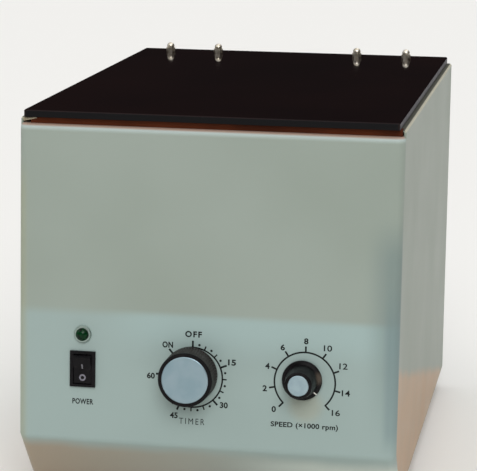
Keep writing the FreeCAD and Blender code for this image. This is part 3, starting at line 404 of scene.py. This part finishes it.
# The speed scale: an open arc with nine ticks that start just inside it.
ARC, ARC_R = (57.5, 41.85), 17.35
ARC_START, ARC_TURN = -135.5, 272
TICKS, TICK_FROM, TICK_TO = 9, ARC_R - 0.3, 20.8
print_run = bmesh.new()
print_arc(print_run, ARC, ARC_R, 0.95, ARC_START, ARC_TURN)
for k in range(TICKS):
    print_tick(print_run, ARC, ARC_START + ARC_TURN / (TICKS - 1) * k, TICK_FROM, TICK_TO, 1.0)
for words, u, v in (("0", 40.1, 25.4), ("2", 34.7, 37.2), ("4", 36.0, 50.2), ("6", 44.5, 61.4),
                    ("8", 57.8, 65.6)):
    print_words(print_run, words, 2.5, TALL, u, v, BOLD)
for words, u, v in (("10", 70.2, 62.2), ("12", 79.2, 52.4), ("14", 81.0, 37.0), ("16", 75.6, 25.3)):
    print_words(print_run, words, 4.7, TALL, u, v, BOLD / 2)
print_words(print_run, "SPEED (×1000 rpm)", 38.5, 3.9, 57.8, 16.4, 0.14, 1.05)
keep(print_run, "speed_scale_print", ink, "case")

# The word under the switch.
print_run = bmesh.new()
print_words(print_run, "POWER", 12.4, 3.3, -71.4, 23.0, 0.12, 1.1)
keep(print_run, "power_word_print", ink, "case")


# The lid's front seal: a bar of red-brown sponge rubber glued along the front's top return. It
# was cut from sheet, so it is matt and finely open-celled.
# Its red-brown is partly painted shade: the bar also stands where the deck lies in the lid's shadow, lit
# brown through the acrylic.
rubber, tree, shader, place = new_finish("sponge_rubber", "#50240D", Roughness=0.75, Specular_IOR_Level=0.15)
drift(tree, shader, place, "#441C08", "#5E2B12", 40)
grain(tree, shader, place, 0.9, 0.08)
dress(rubber, "lid_front_seal")


# A thin beige bead over the seal's left end, drawn thin towards the right: a painted highlight that
# stands for the lit top of the front's return at the seal's end.
BEAD_LONG, BEAD_THICK, BEAD_THIN, BEAD_ROUNDED = 8, 1.2, 0.35, 0.3
BEAD_LEAN = 83
# Its middle, from the top corner of the seal's left end in front.
BEAD_AT = Vector((-0.2, -0.3, -1.0)) * MM
highlight_bead_finish, tree, shader, place = new_finish("beige_highlight_paint", "#A0967E", Roughness=0.5, IOR=1.5)
drift(tree, shader, place, "#8C8167", "#AEA48C", 2)
grain(tree, shader, place, 0.8, 0.06)
seal_low, seal_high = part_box("lid_front_seal")
bead = bmesh.new()
bmesh.ops.create_cone(bead, cap_ends=True, segments=16, radius1=BEAD_THICK * MM,
                      radius2=BEAD_THIN * MM, depth=BEAD_LONG * MM)
rims = [e for e in bead.edges if abs(e.verts[0].co.z - e.verts[1].co.z) < 1e-6]
bmesh.ops.bevel(bead, geom=rims, offset=BEAD_ROUNDED * MM, affect="EDGES", segments=2,
                profile=0.5, material=-1)
laid = Matrix.Translation(Vector((seal_low[0], seal_low[1], seal_high[2])) + BEAD_AT)
laid = laid @ Matrix.Rotation(math.radians(BEAD_LEAN), 4, "Y")
bmesh.ops.transform(bead, matrix=laid, verts=bead.verts)
keep(bead, "seal_end_highlight", highlight_bead_finish, "case", 40)


# The lid: one sheet of 4 mm smoked acrylic, sawn to size and drilled. Its cast faces keep a mirror
# gloss, and a brown-black dye lets almost no light through. The sawn edges are duller, with the
# saw's fine upright lines. Their tints are painted reflection: the front and rear edges darker, the two long
# ones grey.
acrylic, tree, shader, place = new_finish(
    "smoked_acrylic", "#180C0D", Roughness=0.05, IOR=1.49, Specular_IOR_Level=0.15)
spot = add(tree, "SeparateXYZ", links={"Vector": (place, "Object")})
colour = drift(tree, shader, place, "#150A0B", "#1C0E0E", 140)
# Only the outermost hundredths of a millimetre, so that the faces above and below stay clear.
LONG_SAWN, FRONT_SAWN, REAR_SAWN = (106.94, 106.98), (-145.94, -145.98), (162.54, 162.58)
aside = add(tree, "Math", {"operation": "ABSOLUTE"}, {0: (spot, "X")})
long_faces = nearing(tree, aside, 0, *LONG_SAWN)
sawn = long_faces
for sawn_across in (FRONT_SAWN, REAR_SAWN):
    across = nearing(tree, spot, "Y", *sawn_across)
    sawn = add(tree, "Math", {"operation": "MAXIMUM"}, {0: (sawn, 0), 1: (across, 0)})
# Painted reflection: the sawn edges darker, the long ones grey.
colour = tinted(tree, shader, colour, "Color", sawn, "#0B0A0C")
tinted(tree, shader, colour, 2, long_faces, "#2C2833")
wiped = gloss(tree, shader, place, 0.03, 0.08, 50)
dull = add(tree, "MapRange", {"To Min": 0.0, "To Max": 0.38}, {"Value": (sawn, 0)})
rough = add(tree, "Math", {"operation": "ADD"}, {0: (wiped, 0), 1: (dull, 0)})
tree.links.new(rough.outputs[0], shader.inputs["Roughness"])
lines = add(tree, "Mapping", {"Scale": (1, 1, 0.02)}, {"Vector": (place, "Object")})
saw = noise(tree, lines, "Vector", 0.7, 1.0)
cut = relief(tree, both(tree, saw, sawn), 0, 0.05)
tree.links.new(cut.outputs["Normal"], shader.inputs["Normal"])
dress(acrylic, "lid_plate")


# The chamber bowl: stainless steel spun over a former, then polished on the lathe, which leaves
# fine rings round its axis.
CHAMBER_Y = 10.0


def lathe_rings(tree, shader, place, pitch_mm, depth_mm):
    # Rings about the chamber's axis: a pattern of distance from it and of height alone.
    middle = add(tree, "Mapping", {"Location": (0, -CHAMBER_Y * MM, 0)}, {"Vector": (place, "Object")})
    flat = add(tree, "VectorMath", {"operation": "MULTIPLY", 1: (1, 1, 0)}, {0: (middle, "Vector")})
    away = add(tree, "VectorMath", {"operation": "LENGTH"}, {0: (flat, "Vector")})
    split = add(tree, "SeparateXYZ", links={"Vector": (middle, "Vector")})
    along = add(tree, "CombineXYZ", links={"X": (away, "Value"), "Z": (split, "Z")})
    rings = relief(tree, noise(tree, along, "Vector", pitch_mm, 2.0), "Fac", depth_mm)
    tree.links.new(rings.outputs["Normal"], shader.inputs["Normal"])


stainless, tree, shader, place = new_finish("spun_stainless", "#B9B8B4", Metallic=1.0, Roughness=0.26)
drift(tree, shader, place, "#ADACA8", "#C3C2BE", 35)
lathe_rings(tree, shader, place, 0.5, 0.004)
gloss(tree, shader, place, 0.2, 0.36, 25)
dress(stainless, "chamber_bowl")


# The chamber's edge trim, the shaft's gland, the motor's mounts and the feet: moulded black rubber,
# matt, with a dusty bloom that greys it.
black_rubber, tree, shader, place = new_finish(
    "moulded_rubber", "#1B1B1A", Roughness=0.62, Specular_IOR_Level=0.35)
drift(tree, shader, place, "#161616", "#262624", 18)
grain(tree, shader, place, 0.6, 0.02)
dress(black_rubber, "chamber_mouth_trim", "shaft_gland", "shock_mounts", "rubber_feet")


# The motor: sand-cast end bells, a black lacquered can, pressed laminations, enamelled copper
# windings, brushes of pressed carbon in moulded holders, and a cast fan on a ground steel shaft.
cast_alloy, tree, shader, place = new_finish("sand_cast_aluminium", "#9A9B9B", Metallic=1.0, Roughness=0.5)
drift(tree, shader, place, "#8D8E8E", "#A7A8A8", 12)
grain(tree, shader, place, 1.1, 0.08)
dress(cast_alloy, "motor_end_bell_lower", "motor_end_bell_upper", "cooling_fan")

lacquer, tree, shader, place = new_finish("black_lacquer", "#26282B", Roughness=0.35, IOR=1.5)
drift(tree, shader, place, "#222427", "#2C2E31", 15)
gloss(tree, shader, place, 0.28, 0.45, 20)
grain(tree, shader, place, 1.6, 0.02)
dress(lacquer, "motor_can")

# Thin sheets stacked along the axis, with a line at each millimetre: the wave repeats every 0.314
# of its own unit.
WAVE_UNIT = 3.15
laminated, tree, shader, place = new_finish("stacked_laminations", "#5A5B5E", Metallic=1.0, Roughness=0.45)
drift(tree, shader, place, "#4C4D50", "#67686B", 15)
sheets = add(tree, "TexWave", {"bands_direction": "Z", "Scale": 1 / (WAVE_UNIT * MM), "Distortion": 0.0},
             {"Vector": (place, "Object")})
edges = relief(tree, sheets, "Fac", 0.1)
tree.links.new(edges.outputs["Normal"], shader.inputs["Normal"])
dress(laminated, "motor_stator", "armature")

copper, tree, shader, place = new_finish("enamelled_copper", "#B4623A", Metallic=1.0, Roughness=0.3)
drift(tree, shader, place, "#A2512C", "#C47448", 6)
grain(tree, shader, place, 0.7, 0.15, (1, 1, 0.15))
dress(copper, "motor_windings", "commutator")

carbon, tree, shader, place = new_finish("pressed_carbon", "#151515", Roughness=0.8)
drift(tree, shader, place, "#121212", "#1C1C1B", 2)
grain(tree, shader, place, 0.4, 0.03)
dress(carbon, "carbon_brushes")


# The steel fittings: hinge leaves and pins, brackets, nuts, shafts and screws, cut from drawn or
# rolled stock and zinc plated, so they are bright grey with a fine grain along the sheet.
zinc, tree, shader, place = new_finish("zinc_plated_steel", "#A9ABAA", Metallic=1.0, Roughness=0.34)
drift(tree, shader, place, "#9C9E9D", "#B6B7B5", 9)
gloss(tree, shader, place, 0.26, 0.44, 6)
grain(tree, shader, place, 0.5, 0.008, (0.1, 1, 1))
dress(zinc, "motor_plate", "motor_bearings", "motor_shaft", "hinge_lid_leaves", "hinge_fixed_leaves",
      "hinge_pins", "lid_screws", "timer_body", "timer_nut", "timer_shaft", "speed_pot_body",
      "speed_pot_nut", "speed_shaft", "panel_screws", "foot_screws", "control_bracket")


# The rotor: turned from a billet of aluminium and clear anodised, with the lathe's rings under a
# satin skin. The wells' numbers are engraved on its inner cone and filled with black paint.
anodised, tree, shader, place = new_finish("anodised_aluminium", "#A8ABAF", Metallic=1.0, Roughness=0.38)
drift(tree, shader, place, "#A2A5A9", "#AEB1B5", 20)
lathe_rings(tree, shader, place, 0.35, 0.006)
gloss(tree, shader, place, 0.32, 0.46, 12)
dress(anodised, "rotor_head")

WELLS = 12
ROTOR_FOOT = 164.0
NUMBER_R, NUMBER_TALL, DIGIT_WIDE, NUMBER_T = 42.2, 3.2, 1.9, 0.12
filler, tree, shader, place = new_finish(
    "engraving_paint", "#141414", Roughness=0.6, Specular_IOR_Level=0.3)
drift(tree, shader, place, "#0F0F0F", "#1E1D1C", 1)
engraved = bmesh.new()
for k in range(WELLS):
    turn = Matrix.Translation(Vector((0, CHAMBER_Y, 0)) * MM)
    turn = turn @ Matrix.Rotation(math.radians(360 / WELLS * k - 90), 4, "Z")
    # The cone leans at 45 degrees, so a place on it is as far up as it is out.
    out = turn @ Matrix.Translation(Vector((0, NUMBER_R, ROTOR_FOOT + NUMBER_R)) * MM)
    lean = Matrix.Rotation(math.radians(45), 4, "X")
    number = str(k or WELLS)
    set_type(engraved, number, DIGIT_WIDE * len(number), NUMBER_TALL, NUMBER_T, out @ lean, 0.06)
keep(engraved, "well_numbers", filler, "spindle")


# The bright fittings: acorn nuts on the lid and the nut that clamps the rotor, turned from brass
# and nickel plated, a little yellow, and brightest where they have been handled.
nickel, tree, shader, place = new_finish("bright_nickel", "#DED4C2", Metallic=1.0, Roughness=0.36)
drift(tree, shader, place, "#D0C5AF", "#EAE3D5", 3)
gloss(tree, shader, place, 0.3, 0.42, 2)
dress(nickel, "rotor_nut", "lid_acorn_nuts", "mains_inlet_pins")


# The rocker switch: a glossy black nylon frame that snaps into the panel, and a paddle on a cross
# pin. The bar and the ring on the paddle are hot-stamped foil; the bar's darker, patchy grey is painted shade
# for the paddle's upper half, which leans away from the light.
nylon, tree, shader, place = new_finish(
    "black_nylon", "#100F11", Roughness=0.32, IOR=1.53, Specular_IOR_Level=0.1)
drift(tree, shader, place, "#0F0E10", "#181618", 6)
gloss(tree, shader, place, 0.26, 0.42, 4)
grain(tree, shader, place, 0.5, 0.006)
dress(nylon, "switch_housing", "power_rocker", "mains_inlet_body", "fuse_holder", "fuse_cap", "brush_holders")

# The switch's middle on the panel, then the ridge between the paddle's halves, out of the panel
# and up from that middle, and the lean of the upper half.
SWITCH = (-71.5, 42.2)
RIDGE = (-0.858, -0.395)
SLOPE = 24
OFF_RING_UP, OFF_RING_R, OFF_RING_BORE = -5.0, 1.95, 1.05
FOIL_BACK, FOIL_FACE = 0.05, -0.04
foil, tree, shader, place = new_finish("white_foil", "#77757F", Roughness=0.4, IOR=1.5)
drift(tree, shader, place, "#6B6973", "#82808A", 0.6)
mark = bmesh.new()
lower_half = on_panel(SWITCH[0], RIDGE[0], SWITCH[1] + OFF_RING_UP)
for radius, y in ((OFF_RING_R, FOIL_BACK), (OFF_RING_BORE, FOIL_BACK),
                  (OFF_RING_BORE, FOIL_FACE), (OFF_RING_R, FOIL_FACE)):
    mark.verts.new(lower_half @ (Vector((0, y, radius)) * MM))
mark.verts.ensure_lookup_table()
loop = [mark.edges.new((mark.verts[i], mark.verts[(i + 1) % 4])) for i in range(4)]
bmesh.ops.spin(mark, geom=list(mark.verts) + loop, cent=lower_half.translation,
               axis=PANEL.to_3x3() @ Vector((0, 1, 0)), angle=math.tau, steps=40, use_merge=True)
keep(mark, "off_ring_mark", foil, "rocker", 40)

BAR_UP = 2.3
BAR_WIDE, BAR_T, BAR_TALL, BAR_ROUNDED = 0.8, 0.08, 3.2, 0.03
bar_foil, tree, shader, place = new_finish("shaded_bar_foil", "#6B6A70", Roughness=0.4, IOR=1.5)
drift(tree, shader, place, "#4A494E", "#8C8B92", 0.5)
mark = bmesh.new()
upper_half = on_panel(SWITCH[0], RIDGE[0], SWITCH[1] + RIDGE[1])
upper_half = upper_half @ Matrix.Rotation(math.radians(SLOPE), 4, "X")
bar = upper_half @ Matrix.Translation(Vector((0, 0, BAR_UP)) * MM)
bar = bar @ Matrix.Diagonal(Vector((BAR_WIDE, BAR_T, BAR_TALL)) * MM).to_4x4()
bmesh.ops.create_cube(mark, size=1.0, matrix=bar)
bmesh.ops.bevel(mark, geom=list(mark.edges), offset=BAR_ROUNDED * MM, affect="EDGES", segments=1,
                profile=0.5, material=-1)
keep(mark, "on_bar_mark", bar_foil, "rocker")


# The power lamp: a domed lens moulded in dark green acrylic, with no light behind it, held in a
# turned ring of chromed brass that has dulled.
lens, tree, shader, place = new_finish(
    "green_lens", "#031C0D", Roughness=0.12, IOR=1.49, Specular_IOR_Level=0.15)
drift(tree, shader, place, "#010D06", "#073819", 2.2)
dress(lens, "lamp_lens")

# The ring's grey-green tint is painted reflection of the enamel around it.
chrome, tree, shader, place = new_finish("chromed_brass", "#A6B4AE", Metallic=1.0, Roughness=0.42)
drift(tree, shader, place, "#9EADA6", "#AEBBB5", 2)
gloss(tree, shader, place, 0.38, 0.46, 2)
dress(chrome, "lamp_bezel")


# The knobs: moulded black phenolic with fine flutes, each with a disc of spun and lacquered
# aluminium let into its front. The small one has a white line let into its skirt.
phenolic, tree, shader, place = new_finish(
    "black_phenolic", "#0E0D0E", Roughness=0.34, IOR=1.55, Specular_IOR_Level=0.12)
colour = drift(tree, shader, place, "#0B0A0B", "#141214", 7)
# Painted light: the timer knob's flutes are a lighter grey-brown where light falls on them, up to its front
# rim, stopping short of the speed knob.
FLUTES_OUT, FLUTES_ACROSS = (15.8, 15.2), (22, 20)
spot = add(tree, "SeparateXYZ", links={"Vector": (place, "Object")})
off_bend = add(tree, "VectorMath", {"operation": "SUBTRACT", 1: BEND}, {0: (place, "Object")})
facing = -(PANEL.to_3x3() @ Vector((0, 1, 0)))
proud = add(tree, "VectorMath", {"operation": "DOT_PRODUCT", 1: facing}, {0: (off_bend, "Vector")})
lit_flutes = both(tree, nearing(tree, proud, "Value", *FLUTES_OUT), nearing(tree, spot, "X", *FLUTES_ACROSS))
colour = tinted(tree, shader, colour, "Color", lit_flutes, "#332D2B")
# Painted highlight: a brown patch on the right of the speed knob's skirt.
HIGHLIGHT_AT, HIGHLIGHT = on_panel(65.2, -3, 45.2).translation, (4.8, 1.0)
off_highlight = add(tree, "VectorMath", {"operation": "DISTANCE", 1: HIGHLIGHT_AT}, {0: (place, "Object")})
skirt_highlight = less(tree, nearing(tree, off_highlight, "Value", *HIGHLIGHT), 0.7)
tinted(tree, shader, colour, 2, skirt_highlight, "#5C5349")
gloss(tree, shader, place, 0.28, 0.46, 5)
grain(tree, shader, place, 0.6, 0.01)
dress(phenolic, "timer_knob", "speed_knob")

disc, tree, shader, place = new_finish("spun_disc", "#9DB4BD", Metallic=1.0, Roughness=0.42)
drift(tree, shader, place, "#98B0BA", "#A2B7C0", 9)
gloss(tree, shader, place, 0.4, 0.45, 8)
dress(disc, "timer_knob_cap")

pale_disc, tree, shader, place = new_finish("paler_spun_disc", "#A9BFC7", Metallic=1.0, Roughness=0.42)
drift(tree, shader, place, "#A3B9C2", "#B0C5CC", 5)
gloss(tree, shader, place, 0.4, 0.45, 5)
dress(pale_disc, "speed_knob_cap")

# The line follows the skirt's slope, given by places out from the knob's axis and out of the panel.
SPEED = (56.1, 43.3)
SKIRT = ((9.45, 3.24), (10.9, 2.85), (11.42, 2.25))
LINE_TURN, LINE_WIDE, LINE_T = 131, 0.7, 0.08
paint, tree, shader, place = new_finish("white_line_paint", "#D8D6CE", Roughness=0.45, IOR=1.5)
drift(tree, shader, place, "#C9C6BD", "#E2E0D8", 0.8)
line = bmesh.new()
skirt = on_panel(SPEED[0], 0, SPEED[1]) @ clockwise(LINE_TURN)
outline = [line.verts.new(skirt @ (Vector((-LINE_WIDE / 2, -h, r)) * MM)) for r, h in SKIRT]
strip = [line.edges.new((outline[i], outline[i + 1])) for i in range(2)]
widened = bmesh.ops.extrude_edge_only(line, edges=strip)
moved = [v for v in widened["geom"] if isinstance(v, bmesh.types.BMVert)]
bmesh.ops.translate(line, verts=moved, vec=skirt.to_3x3() @ (Vector((LINE_WIDE, 0, 0)) * MM))
bmesh.ops.solidify(line, geom=list(line.faces), thickness=LINE_T * MM)
keep(line, "speed_pointer_line", paint, "speed_dial")


# The electronics: a glass-epoxy board with a green mask, drums and boxes in dark plastic, an
# extruded heat sink, and leads covered in red-brown plastic.
mask, tree, shader, place = new_finish("solder_mask", "#1C5A33", Roughness=0.35, IOR=1.5)
drift(tree, shader, place, "#174D2B", "#24693D", 4)
dress(mask, "control_board")

casing, tree, shader, place = new_finish("component_plastic", "#23242A", Roughness=0.5, IOR=1.5)
drift(tree, shader, place, "#1B1C22", "#2E3038", 7)
dress(casing, "board_components")

extruded, tree, shader, place = new_finish("extruded_aluminium", "#A2A4A6", Metallic=1.0, Roughness=0.42)
drift(tree, shader, place, "#9A9C9E", "#AAACAE", 10)
grain(tree, shader, place, 0.6, 0.01, (1, 1, 0.05))
dress(extruded, "board_heatsink")

covering, tree, shader, place = new_finish("lead_covering", "#5A2418", Roughness=0.45, IOR=1.5)
drift(tree, shader, place, "#4E1E14", "#6B2C1E", 15)
dress(covering, "wiring_mains", "wiring_controls")


# The studio: a plain pale floor, a dim sky that is brightest overhead, and three broad soft suns,
# in front on the right, at the left side and high behind.
FLOOR_R = 30.0
floor_shape = bmesh.new()
bmesh.ops.create_circle(floor_shape, cap_ends=True, segments=64, radius=FLOOR_R)
floor_mesh = bpy.data.meshes.new("floor")
floor_shape.to_mesh(floor_mesh)
floor_shape.free()
floor = bpy.data.objects.new("floor", floor_mesh)
bpy.context.scene.collection.objects.link(floor)
paper = new_finish("pale_paper", "#F1F0ED", Roughness=0.9, Specular_IOR_Level=0.2)[0]
floor_mesh.materials.append(paper)

world = bpy.data.worlds.new("studio")
bpy.context.scene.world = world
world.use_nodes = True
sky = world.node_tree
background = sky.nodes["Background"]
direction = add(sky, "SeparateXYZ", links={"Vector": (add(sky, "TexCoord"), "Generated")})
rise = add(sky, "MapRange", {"From Min": 0.3, "From Max": 0.9, "To Min": 0.01, "To Max": 0.9,
                             "interpolation_type": "SMOOTHSTEP"}, {"Value": (direction, "Z")})
sky.links.new(rise.outputs["Result"], background.inputs["Strength"])
background.inputs["Color"].default_value = linear("#FFFFFF")

# Each sun's place in degrees, from the front towards the right and up, its strength and its width.
for name, azimuth, elevation, strength, spread in (
        ("key", 15, 36, 1.52, 36), ("side", -75, 35, 0.4, 50), ("back", 165, 55, 0.4, 40)):
    lamp = bpy.data.lights.new(name, "SUN")
    lamp.energy = strength
    lamp.angle = math.radians(spread)
    hung = bpy.data.objects.new(name, lamp)
    bpy.context.scene.collection.objects.link(hung)
    a, e = math.radians(azimuth), math.radians(elevation)
    towards = Vector((math.sin(a) * math.cos(e), -math.cos(a) * math.cos(e), math.sin(e)))
    hung.rotation_mode = "QUATERNION"
    hung.rotation_quaternion = towards.to_track_quat("Z", "Y")


# The camera: a long lens a little above and to the right of the front, as in the photograph. It was
# fitted to the corners and edges of the lid and the case.
YAW, PITCH, ROLL = 0.1810629, 0.2085794, 0.0093827
CAMERA_AT = Vector((220.24, -1253.53, 406.57)) * MM
LENS = 154.49
camera = bpy.data.objects.new("camera", bpy.data.cameras.new("camera"))
bpy.context.scene.collection.objects.link(camera)
camera.data.lens = LENS
camera.data.clip_end = 60
ahead = Vector((-math.sin(YAW) * math.cos(PITCH), math.cos(YAW) * math.cos(PITCH), -math.sin(PITCH)))
across = Vector((math.cos(YAW), math.sin(YAW), 0))
over = across.cross(ahead)
right = math.cos(ROLL) * across + math.sin(ROLL) * over
up = math.cos(ROLL) * over - math.sin(ROLL) * across
camera.matrix_world = Matrix.Translation(CAMERA_AT) @ Matrix((right, up, -ahead)).transposed().to_4x4()
bpy.context.scene.camera = camera
bpy.context.scene.view_settings.view_transform = "Standard"
